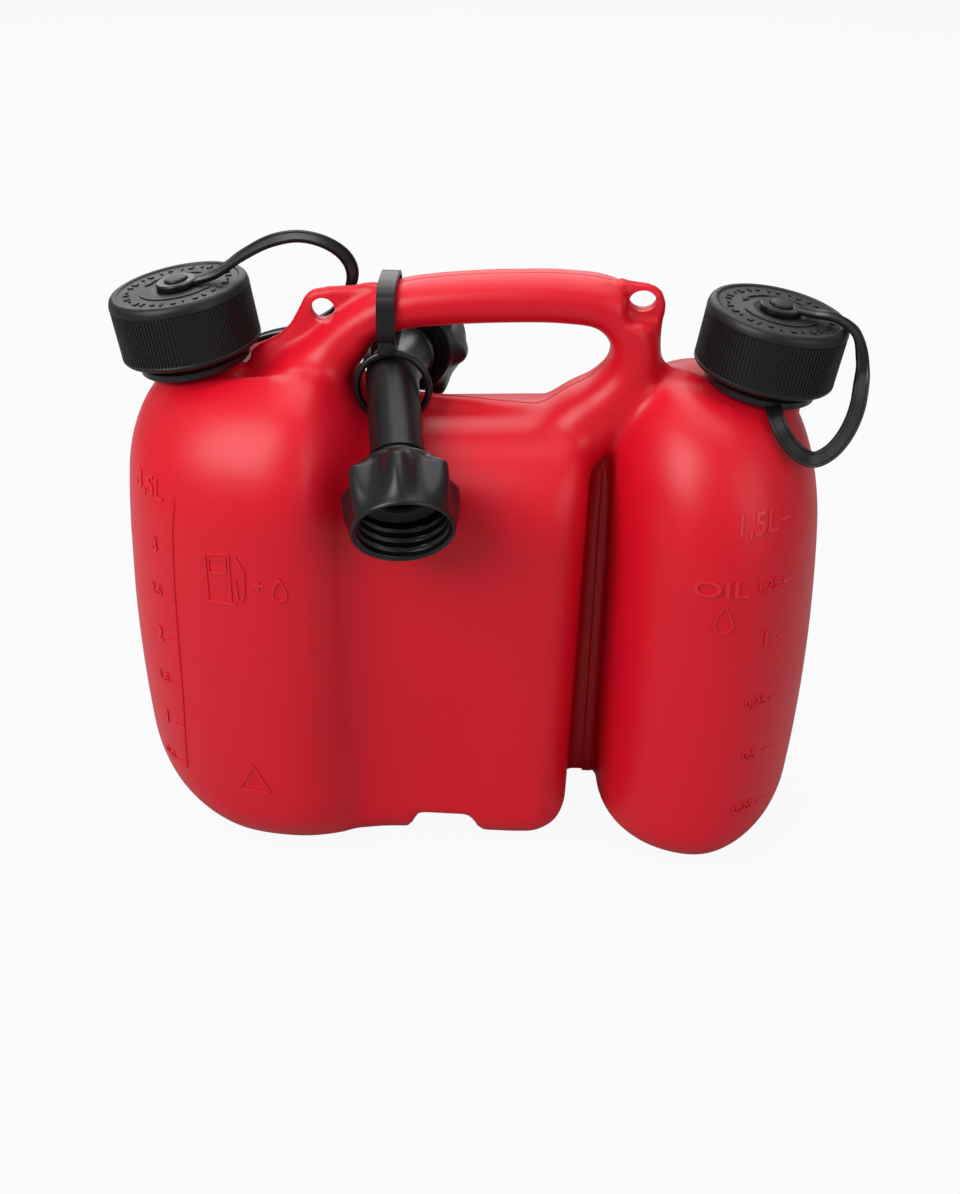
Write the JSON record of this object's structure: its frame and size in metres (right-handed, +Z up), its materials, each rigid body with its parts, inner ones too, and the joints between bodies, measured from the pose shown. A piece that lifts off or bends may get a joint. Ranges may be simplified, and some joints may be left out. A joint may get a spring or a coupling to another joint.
{
  "type": "dual fuel and oil can",
  "caption": "Blow moulded can with a fuel tank and a smaller oil tank joined by a web and a carrying handle, push and turn caps on tethers, and an elbow spout strapped to the handle.",
  "frame": {"origin": "on the floor, under the middle of the whole can's bounding box", "axes": "+X from the fuel tank to the oil tank, -Y towards the front with the short spout leg, +Z up"},
  "size_m": [0.3114, 0.1544, 0.265],
  "materials": {
    "red_polyethylene": "satin, blow moulded",
    "black_plastic": "satin",
    "cap_plastic": "fine ribs, matte",
    "seal_rubber": "matte"
  },
  "bodies": {
    "can": {"can_shell": "red_polyethylene", "fuel_cap_tether": "black_plastic", "oil_cap_tether": "black_plastic", "spout_tube": "black_plastic", "spout_seal_front": "seal_rubber", "spout_seal_rear": "seal_rubber", "spout_strap": "black_plastic"},
    "fuel_cap_lifter": {"fuel_cap_seal": "seal_rubber"},
    "fuel_cap_turner": {"fuel_cap_core": "black_plastic"},
    "fuel_cap_button": {"fuel_cap_cover": "cap_plastic"},
    "oil_cap_lifter": {"oil_cap_seal": "seal_rubber"},
    "oil_cap_turner": {"oil_cap_core": "black_plastic"},
    "oil_cap_button": {"oil_cap_cover": "cap_plastic"},
    "front_nut": {"spout_nut_front": "black_plastic"},
    "rear_nut": {"spout_nut_rear": "black_plastic"}
  },
  "joints": [
    {"name": "fuel_cap_lift", "type": "slide", "parent": "can", "child": "fuel_cap_lifter", "axis": [-0.1616, 0, 0.9869], "range_m": [0, 0.018], "deforming": ["fuel_cap_tether"]},
    {"name": "fuel_cap_turn", "type": "hinge", "parent": "fuel_cap_lifter", "child": "fuel_cap_turner", "pos_m": [-0.12119, 0.01004, 0.2098], "axis": [-0.1616, 0, 0.9869], "range_deg": [0, 1078]},
    {"name": "fuel_cap_push", "type": "slide", "parent": "fuel_cap_turner", "child": "fuel_cap_button", "axis": [0.1616, 0, -0.9869], "range_m": [0, 0.0018], "stiffness_N_per_m": 1500},
    {"name": "oil_cap_lift", "type": "slide", "parent": "can", "child": "oil_cap_lifter", "axis": [0.1616, 0, 0.9869], "range_m": [0, 0.018], "deforming": ["oil_cap_tether"]},
    {"name": "oil_cap_turn", "type": "hinge", "parent": "oil_cap_lifter", "child": "oil_cap_turner", "pos_m": [0.11371, 0.01004, 0.207], "axis": [0.1616, 0, 0.9869], "range_deg": [0, 1078]},
    {"name": "oil_cap_push", "type": "slide", "parent": "oil_cap_turner", "child": "oil_cap_button", "axis": [-0.1616, 0, -0.9869], "range_m": [0, 0.0018], "stiffness_N_per_m": 1500},
    {"name": "front_nut_spin", "type": "hinge", "parent": "can", "child": "front_nut", "pos_m": [-0.03809, 0.00224, 0.2121], "axis": [0.141, -0.8723, -0.4682], "continuous": true},
    {"name": "rear_nut_spin", "type": "hinge", "parent": "can", "child": "rear_nut", "pos_m": [-0.03809, 0.00224, 0.2121], "axis": [0.0802, 0.9821, -0.1705], "continuous": true}
  ],
  "couplings": [
    {"joint": "fuel_cap_lift", "follows": "fuel_cap_turn", "m_per_rad": 0.00095493},
    {"joint": "oil_cap_lift", "follows": "oil_cap_turn", "m_per_rad": 0.00095493}
  ]
}
